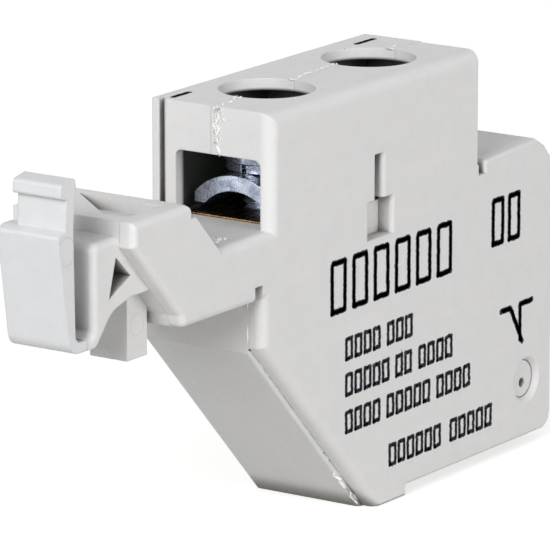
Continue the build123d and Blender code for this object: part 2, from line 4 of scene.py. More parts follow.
import bpy
import numpy as np
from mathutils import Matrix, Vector


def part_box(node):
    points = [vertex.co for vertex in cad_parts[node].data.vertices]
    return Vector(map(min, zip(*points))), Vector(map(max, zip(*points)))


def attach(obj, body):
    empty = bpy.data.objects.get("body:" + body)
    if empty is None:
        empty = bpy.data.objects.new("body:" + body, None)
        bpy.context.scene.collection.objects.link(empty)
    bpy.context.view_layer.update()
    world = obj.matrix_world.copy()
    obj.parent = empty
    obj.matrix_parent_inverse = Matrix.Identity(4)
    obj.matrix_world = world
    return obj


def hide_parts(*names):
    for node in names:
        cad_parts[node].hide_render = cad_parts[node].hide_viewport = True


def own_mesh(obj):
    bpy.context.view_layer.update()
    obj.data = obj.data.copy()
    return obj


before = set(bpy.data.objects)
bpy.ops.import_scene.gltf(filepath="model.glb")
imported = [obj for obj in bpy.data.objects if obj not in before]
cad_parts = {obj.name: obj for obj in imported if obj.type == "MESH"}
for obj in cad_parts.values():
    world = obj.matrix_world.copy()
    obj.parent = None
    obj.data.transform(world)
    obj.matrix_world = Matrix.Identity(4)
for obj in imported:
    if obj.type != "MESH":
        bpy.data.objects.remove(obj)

bl_info = {
    "name": "Auxiliary contact block looks",
    "version": (1, 0, 0),
    "blender": (4, 5, 0),
    "location": "View3D > Sidebar > Contact block",
    "description": "Finishes a packed contact block: mouldings, terminals, marking, flash and stage",
    "category": "Object",
}

MM = 0.001
# The drawing's zero: the left end face, the near side face and the heel's underside, in millimetres
ZERO = np.array([-15.15, -5.0, 0.0])
TOP = 30.9          # height of the top face, mm
LEDGE = 22.65       # height of the ledge before the left wire entry, mm
INK_DEPTH = 0.012   # how far the marking stands proud, mm
HEAD_ROWS, RIM_ROWS, THREAD_ROWS = 56, 2, 150   # rows of points down a screw
RECESS_ROWS = 46    # rows of the head that the recess may lower


def linear(text):
    """An sRGB hex colour as linear RGBA."""
    c = np.array([int(text[i:i + 2], 16) for i in (0, 2, 4)]) / 255
    return (*np.where(c <= 0.04045, c / 12.92, ((c + 0.055) / 1.055) ** 2.4), 1.0)


def add(tree, kind, inputs=None, **settings):
    """Adds a node; inputs maps a socket's name or index to a value or to the socket that feeds it."""
    node = tree.nodes.new(kind)
    for key, value in settings.items():
        setattr(node, key, value)
    for key, value in (inputs or {}).items():
        if isinstance(value, bpy.types.NodeSocket):
            tree.links.new(value, node.inputs[key])
        else:
            node.inputs[key].default_value = value
    return node


def new_material(name):
    """An empty node material with its output; returns the material, its tree and the output."""
    material = bpy.data.materials.new(name)
    material.use_nodes = True
    tree = material.node_tree
    tree.nodes.clear()
    return material, tree, add(tree, "ShaderNodeOutputMaterial")


def drawing_coordinates(tree):
    """Object coordinates turned to millimetres of the drawing, so that pattern scales read per millimetre."""
    raw = add(tree, "ShaderNodeTexCoord").outputs["Object"]
    return add(tree, "ShaderNodeMapping", {
        "Vector": raw, "Location": tuple(-ZERO), "Scale": (1 / MM,) * 3}).outputs[0]


def ramp(tree, value, low, high, out_low=0.0, out_high=1.0):
    """A smooth step of a value from low to high."""
    return add(tree, "ShaderNodeMapRange", {
        "Value": value, "From Min": low, "From Max": high, "To Min": out_low, "To Max": out_high},
        interpolation_type="SMOOTHSTEP").outputs[0]


def times(tree, a, b):
    """The product of two values."""
    return add(tree, "ShaderNodeMath", {0: a, 1: b}, operation="MULTIPLY").outputs[0]


def mixed(tree, factor, a, b):
    """Colour a turned towards colour b by factor."""
    node = add(tree, "ShaderNodeMix", {"Factor": factor}, data_type="RGBA")
    for socket, value in (("A", a), ("B", b)):
        target = next(s for s in node.inputs if s.name == socket and s.type == "RGBA")
        if isinstance(value, bpy.types.NodeSocket):
            tree.links.new(value, target)
        else:
            target.default_value = value
    return next(s for s in node.outputs if s.type == "RGBA")


def seen_directly(tree):
    """One for camera, glossy and transmission rays, and nought for the rays that light the object."""
    rays = add(tree, "ShaderNodeLightPath").outputs
    seen = rays["Is Camera Ray"]
    for other in ("Is Glossy Ray", "Is Transmission Ray"):
        seen = add(tree, "ShaderNodeMath", {0: seen, 1: rays[other]}, operation="MAXIMUM").outputs[0]
    return seen


def facing(tree, axis):
    """How squarely the surface faces along an axis of the object, either way, from 0 to 1."""
    normal = add(tree, "ShaderNodeTexCoord").outputs["Normal"]
    part = add(tree, "ShaderNodeSeparateXYZ", {0: normal}).outputs[axis]
    return add(tree, "ShaderNodeMath", {0: part}, operation="ABSOLUTE").outputs[0]


def moulded_polyamide(name, colour, rings=(), bays=False, shade=0.92):
    """Injection moulded polyamide: pale, faintly mottled, with a spark-eroded mould's fine grain and stray specks.

    rings are marks of ejector pins as (x, z, radius) on faces across the depth. With bays, the walls of the
    terminal bays are painted dark as painted shade, for the little light that reaches them. shade is how far the
    painted shade darkens the crevices."""
    material, tree, output = new_material(name)
    p = drawing_coordinates(tree)
    xyz = add(tree, "ShaderNodeSeparateXYZ", {0: p}).outputs
    # Mottling about 1.5 mm across and flow streaks along the length, both a few percent in tone
    mottle = add(tree, "ShaderNodeTexNoise", {
        "Vector": p, "Scale": 0.7, "Detail": 4.0, "Roughness": 0.6}).outputs[0]
    along = add(tree, "ShaderNodeMapping", {"Vector": p, "Scale": (0.12, 0.9, 0.9)}).outputs[0]
    flow = add(tree, "ShaderNodeTexNoise", {"Vector": along, "Scale": 1.0, "Detail": 3.0}).outputs[0]
    tone = mixed(tree, ramp(tree, mottle, 0.35, 0.7, 0.0, 0.045), colour, linear("8F8C88"))
    tone = mixed(tree, ramp(tree, flow, 0.45, 0.75, 0.0, 0.05), tone, linear("F4F2EC"))
    # Painted shade in crevices narrower than 3 mm: ambient occlusion darkens them towards brown
    open_sky = add(tree, "ShaderNodeAmbientOcclusion", {"Distance": 3.0 * MM}, samples=8).outputs["AO"]
    painted_crevice_shade = ramp(tree, open_sky, 0.46, 0.18, 0.0, shade)
    tone = mixed(tree, painted_crevice_shade, tone, linear("453D31"))
    # Dark specks 0.1 to 0.2 mm across, a few in each square centimetre, and fewer pale ones
    cells = add(tree, "ShaderNodeTexVoronoi", {"Vector": p, "Scale": 0.42})
    chosen = add(tree, "ShaderNodeSeparateColor", {0: cells.outputs["Color"]}).outputs
    near_speck = ramp(tree, cells.outputs["Distance"], 0.045, 0.025)
    for low, high, strength, speck_colour in ((0.74, 0.76, 0.6, "5E564B"), (0.1, 0.08, 0.8, "FFFFFF")):
        speck = times(tree, near_speck, ramp(tree, chosen[0], low, high))
        tone = mixed(tree, times(tree, speck, strength), tone, linear(speck_colour))
    # Grain 0.12 mm apart, as fine as shows at this size, and shallow waves of sink marks
    grain = add(tree, "ShaderNodeTexNoise", {"Vector": p, "Scale": 7.0, "Detail": 2.0}).outputs[0]
    tone = mixed(tree, ramp(tree, grain, 0.35, 0.7, 0.0, 0.05), tone, linear("8F8C88"))
    height = add(tree, "ShaderNodeMath", {0: times(tree, grain, 0.008), 1: times(tree, mottle, 0.03)},
                 operation="ADD").outputs[0]
    if rings:
        side_face = ramp(tree, facing(tree, 1), 0.8, 0.95)
    for x, z, radius in rings:
        flat = add(tree, "ShaderNodeCombineXYZ", {0: xyz[0], 2: xyz[2]}).outputs[0]
        away = add(tree, "ShaderNodeVectorMath", {0: flat, 1: (x, 0, z)}, operation="DISTANCE").outputs["Value"]
        edge = add(tree, "ShaderNodeMath", {0: away, 1: radius, 2: 0.07}, operation="COMPARE").outputs[0]
        step = times(tree, ramp(tree, away, radius + 0.05, radius - 0.05, 0.0, 0.03), side_face)
        height = add(tree, "ShaderNodeMath", {0: height, 1: step}, operation="SUBTRACT").outputs[0]
        tone = mixed(tree, times(tree, times(tree, edge, side_face), 0.16), tone, linear("8F8D8A"))
    # Painted shade: with bays, the walls inside the terminal bays are darkened by their place towards dark
    # green-grey
    if bays:
        inside = ramp(tree, xyz[0], 0.6, 1.0)
        for axis, low, high in ((0, 25.8, 25.4), (1, 0.7, 0.9), (1, 9.1, 8.9), (2, 30.3, 30.05), (2, 22.68, 22.75)):
            inside = times(tree, inside, ramp(tree, xyz[axis], low, high))
        tone = mixed(tree, times(tree, inside, 0.93), tone, linear("353C30"))
    # Bevel shading stands in for the small radius that every moulded edge has
    round_edges = add(tree, "ShaderNodeBevel", {"Radius": 0.13 * MM}, samples=6).outputs[0]
    bump = add(tree, "ShaderNodeBump", {
        "Strength": 0.5, "Distance": MM, "Height": height, "Normal": round_edges}).outputs[0]
    rough = ramp(tree, grain, 0.3, 0.7, 0.48, 0.6)
    shader = add(tree, "ShaderNodeBsdfPrincipled", {
        "Base Color": tone, "Roughness": rough, "Normal": bump, "IOR": 1.53,
        "Subsurface Weight": 0.12, "Subsurface Radius": (0.7, 0.65, 0.6), "Subsurface Scale": 0.4 * MM})
    tree.links.new(shader.outputs[0], output.inputs["Surface"])
    return material


def worked_metal(name, colour, stain, roughness, scratch=0.5, lay=(0.25, 3.0, 3.0), bare=1.0, flat_face_shade=0.0):
    """Worked metal: fine drawing lines along one way, scattered scratches and blotches of tarnish.

    stain is the tarnish's hex colour, scratch how strong the lines and scratches are and lay how the drawing lines
    stretch along the three ways. bare is how far it mirrors as clean metal does; a matt zinc or oxide skin
    scatters the rest. The last argument is how far the faces lying flat are painted dark, a painted shade that
    leaves the sheared edges bright."""
    material, tree, output = new_material(name)
    p = drawing_coordinates(tree)
    blotch = add(tree, "ShaderNodeTexNoise", {
        "Vector": p, "Scale": 0.9, "Detail": 2.5, "Roughness": 0.55}).outputs[0]
    tone = mixed(tree, ramp(tree, blotch, 0.45, 0.75, 0.0, 0.6), colour, linear(stain))
    # Painted shade: faces lying flat, found from their normal, are darkened towards near black, which leaves the
    # sheared edges bright
    if flat_face_shade:
        tone = mixed(tree, ramp(tree, facing(tree, 2), 0.45, 0.85, 0.0, flat_face_shade), tone, linear("100F0D"))
    # Drawing lines about 0.2 mm apart, coarser than the real ones so that they show
    lines = add(tree, "ShaderNodeMapping", {"Vector": p, "Scale": lay}).outputs[0]
    drawn = add(tree, "ShaderNodeTexNoise", {
        "Vector": lines, "Scale": 2.0, "Detail": 2.0, "Roughness": 0.5}).outputs[0]
    # Scratches 0.05 mm wide: thin cell borders stretched along two slanting ways
    nicks = None
    for turn in (0.5, -0.9):
        slanted = add(tree, "ShaderNodeMapping", {
            "Vector": p, "Rotation": (turn, turn, turn), "Scale": (0.35, 2.2, 2.2)}).outputs[0]
        cells = add(tree, "ShaderNodeTexVoronoi", {"Vector": slanted, "Scale": 0.8}, feature="DISTANCE_TO_EDGE")
        line = ramp(tree, cells.outputs["Distance"], 0.035, 0.0)
        nicks = line if nicks is None else add(
            tree, "ShaderNodeMath", {0: nicks, 1: line}, operation="MAXIMUM").outputs[0]
    tone = mixed(tree, times(tree, nicks, 0.5 * scratch), tone, linear("F4F6FA"))
    height = add(tree, "ShaderNodeMath", {0: times(tree, drawn, 0.012), 1: times(tree, nicks, 0.01)},
                 operation="SUBTRACT").outputs[0]
    round_edges = add(tree, "ShaderNodeBevel", {"Radius": 0.1 * MM}, samples=6).outputs[0]
    bump = add(tree, "ShaderNodeBump", {
        "Strength": scratch, "Distance": MM, "Height": height, "Normal": round_edges}).outputs[0]
    rough = ramp(tree, drawn, 0.3, 0.75, roughness - 0.08, roughness + 0.14)
    shader = add(tree, "ShaderNodeBsdfPrincipled", {
        "Base Color": tone, "Metallic": bare, "Roughness": rough, "Normal": bump})
    tree.links.new(shader.outputs[0], output.inputs["Surface"])
    return material


def marking_ink(name, colour):
    """Continuous ink-jet ink, dried on the plastic: dark, a little uneven, half matt."""
    material, tree, output = new_material(name)
    p = drawing_coordinates(tree)
    thin = add(tree, "ShaderNodeTexNoise", {"Vector": p, "Scale": 2.5, "Detail": 3.0}).outputs[0]
    tone = mixed(tree, ramp(tree, thin, 0.5, 0.8, 0.0, 0.3), colour, linear("2C3148"))
    shader = add(tree, "ShaderNodeBsdfPrincipled", {"Base Color": tone, "Roughness": 0.55})
    tree.links.new(shader.outputs[0], output.inputs["Surface"])
    return material


def put_mesh(name, points, faces, material, body):
    """A mesh object of points in millimetres of the drawing, riding on a body."""
    mesh = bpy.data.meshes.new(name)
    mesh.from_pydata((np.asarray(points) + ZERO) * MM, [], faces)
    mesh.validate()
    mesh.polygons.foreach_set("use_smooth", np.full(len(mesh.polygons), True))
    mesh.materials.append(material)
    obj = bpy.data.objects.new(name, mesh)
    bpy.context.scene.collection.objects.link(obj)
    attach(obj, body)
    return obj


def grid_faces(rows, columns):
    """Quads between neighbouring rows of a grid of points, its columns joined round."""
    r, c = np.meshgrid(np.arange(rows - 1), np.arange(columns), indexing="ij")
    n = (c + 1) % columns
    corners = [r * columns + c, r * columns + n, (r + 1) * columns + n, (r + 1) * columns + c]
    return np.stack(corners, -1).reshape(-1, 4).tolist()


def screw_surface(x, y, head_z, size):
    """A pan head screw as one surface turned about its axis: a profile from the head's centre to the tip.

    On the head the height drops by the recess depth inside a cross and a slot; on the shank the radius rises
    and falls once a pitch, one pitch further on at each full turn."""
    around = np.linspace(0, 2 * np.pi, 144, endpoint=False)
    radius = np.concatenate([
        np.linspace(0.02, size.head_radius - 0.6, RECESS_ROWS),
        size.head_radius - 0.6 + 0.6 * np.sin(np.linspace(0.1, np.pi / 2, 10)),
        [size.head_radius, size.head_radius - 0.02], np.full(THREAD_ROWS, size.shank_radius),
        np.linspace(1.3, 0.02, 6)])
    top = head_z + size.head_height
    height = np.concatenate([
        top - 0.10 * np.linspace(0, 1, RECESS_ROWS) ** 2,
        top - 0.10 - 0.6 * (1 - np.cos(np.linspace(0.1, np.pi / 2, 10))),
        [head_z + 0.08, head_z], np.linspace(head_z, head_z - size.shank_length, THREAD_ROWS),
        np.full(6, head_z - size.shank_length)])
    r = np.repeat(radius[:, None], len(around), 1)
    z = np.repeat(height[:, None], len(around), 1)
    a = around[None, :]
    u, v = r * np.cos(a + 0.6), r * np.sin(a + 0.6)
    row = np.arange(len(radius))[:, None]

    def wall(distance, width):
        """One inside a groove of this half width, falling to nought over its 0.12 mm wide flank."""
        return np.clip((width - np.abs(distance)) / 0.12, 0, 1)

    cross = np.maximum(wall(u, 0.42) * wall(v, 2.05), wall(v, 0.42) * wall(u, 2.05))
    slot = wall(v, 0.36)
    cross = size.recess_depth * cross * np.clip(1.15 - 0.28 * r, 0.3, 1)
    z = z - (row < RECESS_ROWS) * np.maximum(cross, 0.75 * slot)
    first = HEAD_ROWS + RIM_ROWS
    shank = (row >= first) & (row < first + THREAD_ROWS)
    phase = (height[:, None] / size.pitch - a / (2 * np.pi)) % 1.0
    r = np.where(shank, size.shank_radius - 0.32 * (1 - np.abs(2 * phase - 1)), r)
    points = np.stack([x + r * np.cos(a), y + r * np.sin(a), z], -1).reshape(-1, 3)
    rows, columns = r.shape
    faces = grid_faces(rows, columns)
    faces += [list(range(columns - 1, -1, -1)), list(range((rows - 1) * columns, rows * columns))]
    return points, [f[::-1] for f in faces]


def coil_surface(x, y, z0, z1, radius, wire, turns):
    """A coil spring from z0 to z1: a round wire whose centre turns evenly while its height stands still for the
    first and last three quarters of a turn, which closes the ends, and rises evenly in between."""
    t = np.linspace(0, turns, 36 * turns + 1)[:, None]
    rise = np.clip((t - 0.75) / (turns - 1.5), 0, 1)
    corners = 10
    around = np.linspace(0, 2 * np.pi, corners, endpoint=False)[None]
    a, r = 2 * np.pi * t, radius + wire * np.cos(around)
    z = z0 + wire + (z1 - z0 - 2 * wire) * rise + wire * np.sin(around)
    points = np.stack([x + r * np.cos(a), y + r * np.sin(a), z], -1).reshape(-1, 3)
    faces = [f[::-1] for f in grid_faces(len(t), corners)]
    last = corners * len(t) - 1
    faces += [list(range(corners)), list(range(last, last - corners, -1))]
    return points, faces


def ridge_surface(path, out, across, width, height, seed, cover=1.0, wander=0.0):
    """A thin ridge along a path: a three-sided profile whose height is a sum of waves, kept where it is above zero.

    path holds the corners, out is the way that the ridge rises and across the way of its width. wander is how
    far the ridge strays sideways."""
    path = np.asarray(path, float)
    along = np.concatenate([[0], np.cumsum(np.linalg.norm(np.diff(path, axis=0), axis=1))])
    t = np.linspace(0, along[-1], max(int(along[-1] / 0.09), 8))
    centre = np.stack([np.interp(t, along, path[:, k]) for k in range(3)], -1)
    up, side = (np.asarray(v, float)[None] for v in (out, across))
    draw = np.random.default_rng(seed)
    waves = draw.uniform(0.6, 9.0, 14)
    level = (np.sin(np.outer(t, waves) + draw.uniform(0, 6.3, 14)) / np.sqrt(waves + 0.5)).sum(1)
    level = np.clip(level / 2.4 + cover - 0.5, 0, 1) * np.clip(t / 0.3, 0, 1) * np.clip((t[-1] - t) / 0.3, 0, 1)
    drift = 0.2 * width * np.sin(1.7 * t + seed) + wander * (
        np.sin(np.outer(t, waves[:5] + 1) + draw.uniform(0, 6.3, 5)).sum(1) / 2.5)
    spread = np.array([-0.5, -0.2, 0.15, 0.5])[None, :] * width * (0.35 + 0.65 * level[:, None]) + drift[:, None]
    rise = np.array([-0.25, 1.0, 0.8, -0.25])[None, :] * height * level[:, None] - 0.004
    points = centre[:, None] + side[:, None] * spread[..., None] + up[:, None] * rise[..., None]
    faces = grid_faces(len(t), 4)
    faces += [[3, 2, 1, 0], list(range(4 * len(t) - 4, 4 * len(t)))]
    return points.reshape(-1, 3), faces


def dot_surface(u, v, radius, top=None):
    """Ink dots on the side face, or on the top face at height top: each a flat cap of eight corners, its rim
    carried back to just under the face and closed there."""
    corners = 8
    around = np.linspace(0, 2 * np.pi, corners, endpoint=False) + 0.39
    zero = np.zeros(corners)
    if top is None:
        rim, out = np.stack([np.cos(around), zero, np.sin(around)], -1), np.array([0, -INK_DEPTH, 0])
        centre = np.stack([u, np.zeros_like(u), v], -1)[:, None]
    else:
        rim, out = np.stack([np.cos(around), np.sin(around), zero], -1), np.array([0, 0, INK_DEPTH])
        centre = np.stack([u, v, np.full_like(u, top)], -1)[:, None]
    points = np.concatenate([centre + 0.93 * radius * rim + out, centre + radius * rim - 0.3 * out], 1)
    first = 2 * corners * np.arange(len(u))[:, None, None]
    k = np.arange(corners)
    following = (k + 1) % corners
    walls = np.stack([k, k + corners, following + corners, following], -1)
    faces = (first + walls).reshape(-1, 4).tolist() + (first[:, :, 0] + k).tolist()
    faces += (first[:, :, 0] + k[::-1] + corners).tolist()
    if top is not None:
        faces = [f[::-1] for f in faces]
    return points.reshape(-1, 3), faces


def dotted(paths, pitch):
    """Dot centres a pitch apart along paths of corners, each dot a little off its place."""
    rows = []
    for path in paths:
        corners = np.asarray(path, float)
        along = np.concatenate([[0], np.cumsum(np.linalg.norm(np.diff(corners, axis=0), axis=1))])
        t = np.linspace(0, along[-1], int(along[-1] / pitch) + 2)
        rows.append(np.stack([np.interp(t, along, corners[:, k]) for k in range(2)], -1))
    dots = np.concatenate(rows)
    return (dots + np.random.default_rng(5).normal(0, 0.02, dots.shape)).T


def blank_boxes(x, middle, width, height, pitch, count):
    """A row of plain open boxes from x on, each a closed path round its middle height."""
    low, high = middle - height / 2, middle + height / 2
    return [[(left, low), (left, high), (left + width, high), (left + width, low), (left, low)]
            for left in x + pitch * np.arange(count)]


def crumb_surface(centres, radii, seed):
    """Crumbs of torn flash: balls whose radius swells and shrinks with a few waves of the two angles, each closed
    by a small flat face at both ends."""
    rows, columns = 7, 10
    lat = np.linspace(0.3, np.pi - 0.3, rows)[None, :, None]
    lon = np.linspace(0, 2 * np.pi, columns, endpoint=False)[None, None, :]
    draw = np.random.default_rng(seed)
    turn, squash = draw.uniform(0, 6.3, (3, len(radii), 1, 1)), draw.uniform(0.45, 1.0, (3, len(radii), 1, 1))
    r = np.asarray(radii)[:, None, None] * (
        1 + 0.25 * np.sin(2 * lon + turn[0]) * np.sin(lat) + 0.2 * np.sin(3 * lat + turn[1]) * np.sin(lat)
        + 0.15 * np.sin(3 * lon + 2 * lat + turn[2]) * np.sin(lat))
    ball = np.stack([r * np.sin(lat) * np.cos(lon) * squash[0], r * np.sin(lat) * np.sin(lon) * squash[1],
                     r * np.cos(lat) * squash[2]], -1)
    points = (ball + np.asarray(centres)[:, None, None, :]).reshape(-1, 3)
    one = np.array(grid_faces(rows, columns))[:, ::-1]
    first, last = rows * columns * np.arange(len(radii))[:, None], rows * columns - 1
    faces = (one[None] + first[:, :, None]).reshape(-1, 4).tolist()
    faces += (first + np.arange(columns)).tolist() + (first + np.arange(last, last - columns, -1)).tolist()
    return points, faces


class ContactBlockLooks(bpy.types.PropertyGroup):
    """Colours and sizes of the block's finish"""
    housing_colour: bpy.props.FloatVectorProperty(
        name="Housing", description="Colour of the two housing mouldings", subtype="COLOR", size=4,
        min=0, max=1, default=linear("D8D7D7"))
    latch_colour: bpy.props.FloatVectorProperty(
        name="Latch", description="Colour of the sprung latch limb", subtype="COLOR", size=4,
        min=0, max=1, default=linear("D5D6D8"))
    plunger_colour: bpy.props.FloatVectorProperty(
        name="Plunger", description="Colour of the plunger's moulding", subtype="COLOR", size=4,
        min=0, max=1, default=linear("5E6B5B"))
    ink_colour: bpy.props.FloatVectorProperty(
        name="Ink", description="Colour of the marking", subtype="COLOR", size=4,
        min=0, max=1, default=linear("0F1120"))
    head_radius: bpy.props.FloatProperty(
        name="Screw head radius", description="Radius of the terminal screws' heads", unit="LENGTH", default=0.0030)
    head_height: bpy.props.FloatProperty(
        name="Screw head height", description="Height of the terminal screws' heads", unit="LENGTH", default=0.0021)
    recess_depth: bpy.props.FloatProperty(
        name="Recess depth", description="Depth of the cross recess", unit="LENGTH", default=0.0013)
    shank_radius: bpy.props.FloatProperty(
        name="Thread radius", description="Outer radius of the screw thread", unit="LENGTH", default=0.00169)
    shank_length: bpy.props.FloatProperty(
        name="Shank length", description="Length below the screw head", unit="LENGTH", default=0.0056)
    pitch: bpy.props.FloatProperty(
        name="Thread pitch", description="Rise of the thread at each turn", unit="LENGTH", default=0.0006)
    wire_radius: bpy.props.FloatProperty(
        name="Spring wire radius", description="Radius of the return spring's wire", unit="LENGTH", default=0.00015)
    dot_pitch: bpy.props.FloatProperty(
        name="Dot pitch", description="Distance between the marking's ink dots", unit="LENGTH", default=0.00018)
    dot_radius: bpy.props.FloatProperty(
        name="Dot radius", description="Radius of one ink dot", unit="LENGTH", default=0.00025)
    flash_height: bpy.props.FloatProperty(
        name="Flash height", description="Height of the mould flash on the seam", unit="LENGTH", default=0.00009)
    flash_width: bpy.props.FloatProperty(
        name="Flash width", description="Width of the mould flash on the seam", unit="LENGTH", default=0.00022)

    def in_mm(self):
        """The lengths in millimetres."""
        lengths = [k for k, v in self.bl_rna.properties.items() if v.type == "FLOAT" and not v.is_array]
        return SimpleNamespace(**{k: getattr(self, k) / MM for k in lengths})


def dress(material, *nodes):
    """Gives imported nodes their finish."""
    for node in nodes:
        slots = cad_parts[node].material_slots
        for slot in slots:
            slot.material = material


class CONTACT_OT_mouldings(bpy.types.Operator):
    """Finishes the housing, the latch and the plunger as moulded plastic"""
    bl_idname = "contact_block.mouldings"
    bl_label = "Mouldings"

    def execute(self, context):
        looks = context.scene.contact_block
        housing, latch, plunger = looks.housing_colour[:], looks.latch_colour[:], looks.plunger_colour[:]
        # Marks of ejector pins as (x, z, radius)
        far = [(-12.25, 18.4, 0.75), (4.0, 4.5, 1.1), (32.8, 18.6, 1.1), (4.2, 18.0, 1.1), (24.0, 5.0, 1.1)]
        dress(moulded_polyamide("Moulded polyamide, far half", housing, far, bays=True), "base_housing")
        dress(moulded_polyamide("Moulded polyamide, near half", housing, bays=True), "cover")
        dress(moulded_polyamide("Moulded polyamide, latch", latch, [(-21.9, 25.5, 0.95)]), "latch_lever")
        dress(moulded_polyamide("Moulded polyamide, plunger", plunger), "plunger")
        return {"FINISHED"}


class CONTACT_OT_metalwork(bpy.types.Operator):
    """Finishes the clamps, washers, nuts, strips, contacts and springs"""
    bl_idname = "contact_block.metalwork"
    bl_label = "Metalwork"

    def execute(self, context):
        dress(worked_metal("Zinc plated pressed steel", linear("E2ECFF"), "66748E", 0.24, 0.5, bare=0.75, flat_face_shade=0.75),
              "saddle_clamp_1", "saddle_clamp_2", "clamp_nut_1", "clamp_nut_2")
        dress(worked_metal("Zinc plated spring steel", linear("CCD6EA"), "6C7690", 0.22, 0.4, bare=0.9),
              "spring_washer_1", "spring_washer_2")
        dress(worked_metal("Rolled brass", linear("D8AE5C"), "8A6A36", 0.28, 0.5, flat_face_shade=0.93),
              "contact_strip_1", "contact_strip_2", "contact_bridge")
        dress(worked_metal("Silver alloy", linear("DEDDDA"), "B9B4A6", 0.3, 0.3),
              "contact_tip_1", "contact_tip_2", "bridge_tip_1", "bridge_tip_2")
        dress(worked_metal("Drawn spring wire", linear("A9ACB0"), "82858A", 0.32, 0.3, (4.0, 4.0, 4.0)),
              "contact_spring")
        return {"FINISHED"}


class CONTACT_OT_screws(bpy.types.Operator):
    """Makes the two terminal screws with turned heads, recesses and threads"""
    bl_idname = "contact_block.screws"
    bl_label = "Terminal screws"

    def execute(self, context):
        size = context.scene.contact_block.in_mm()
        steel = worked_metal("Zinc plated turned steel", linear("CCD6EC"), "6C7690", 0.22, 0.5, bare=0.9)
        for index in (1, 2):
            low, high = (np.array(corner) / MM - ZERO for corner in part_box(f"terminal_screw_{index}"))
            x, y = (low[:2] + high[:2]) / 2
            points, faces = screw_surface(x, y, high[2] - size.head_height, size)
            screw = put_mesh(f"screw_thread_{index}", points, faces, steel, f"screw_{index}")
            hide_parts(f"terminal_screw_{index}")
        return {"FINISHED"}


class CONTACT_OT_spring(bpy.types.Operator):
    """Makes the return spring, which the plunger presses together"""
    bl_idname = "contact_block.spring"
    bl_label = "Return spring"

    def execute(self, context):
        size = context.scene.contact_block.in_mm()
        wire = worked_metal("Drawn spring steel wire", linear("A9ACB0"), "82858A", 0.32, 0.3, (4.0, 4.0, 4.0))
        low, high = (np.array(corner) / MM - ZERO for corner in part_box("return_spring"))
        x, y = (low[:2] + high[:2]) / 2
        radius = (high[0] - low[0]) / 2 - size.wire_radius
        points, faces = coil_surface(x, y, low[2], high[2], radius, size.wire_radius, 4)
        spring = put_mesh("closed_coil_spring", points, faces, wire, "housing")
        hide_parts("return_spring")
        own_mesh(spring)
        return {"FINISHED"}


class CONTACT_OT_marking(bpy.types.Operator):
    """Prints the plain marking: rows of blank dotted boxes and the symbol of a break contact"""
    bl_idname = "contact_block.marking"
    bl_label = "Marking"

    def execute(self, context):
        looks = context.scene.contact_block
        size = looks.in_mm()
        ink = marking_ink("Ink-jet marking ink", looks.ink_colour[:])
        # Rows of blank boxes as (x, middle height, box count), small, then large
        small = sum((blank_boxes(x, z, 0.7, 1.4, 1.17, count) for x, z, count in (
            (9.3, 12.45, 4), (14.6, 12.45, 3), (9.3, 9.85, 5), (15.7, 9.85, 2), (18.7, 9.85, 4),
            (9.3, 7.15, 4), (14.6, 7.15, 5), (21.1, 7.15, 4), (14.9, 3.5, 6), (22.9, 3.5, 5))), [])
        large = blank_boxes(7.5, 17.15, 1.6, 3.5, 2.72, 6) + blank_boxes(28.4, 17.75, 1.3, 3.2, 2.2, 2)
        # Break contact: a lead, the slanted blade, the upright stop and the other lead
        symbol = [[(29.6, 10.9), (30.9, 10.9), (32.5, 8.1)], [(32.2, 8.3), (32.2, 10.95), (33.8, 10.95)]]
        for name, paths, radius in (
                ("small", small, 0.74 * size.dot_radius), ("large", large + symbol, size.dot_radius)):
            points, faces = dot_surface(*dotted(paths, size.dot_pitch), radius)
            put_mesh(f"side_marking_{name}", points, faces, ink, "housing")
        top = [[(0.8, 8.7), (2.7, 8.7)], [(23.0, 8.3), (25.2, 8.3)]]
        points, faces = dot_surface(*dotted(top, size.dot_pitch), size.dot_radius, TOP)
        put_mesh("top_marking", points, faces, ink, "housing")
        return {"FINISHED"}


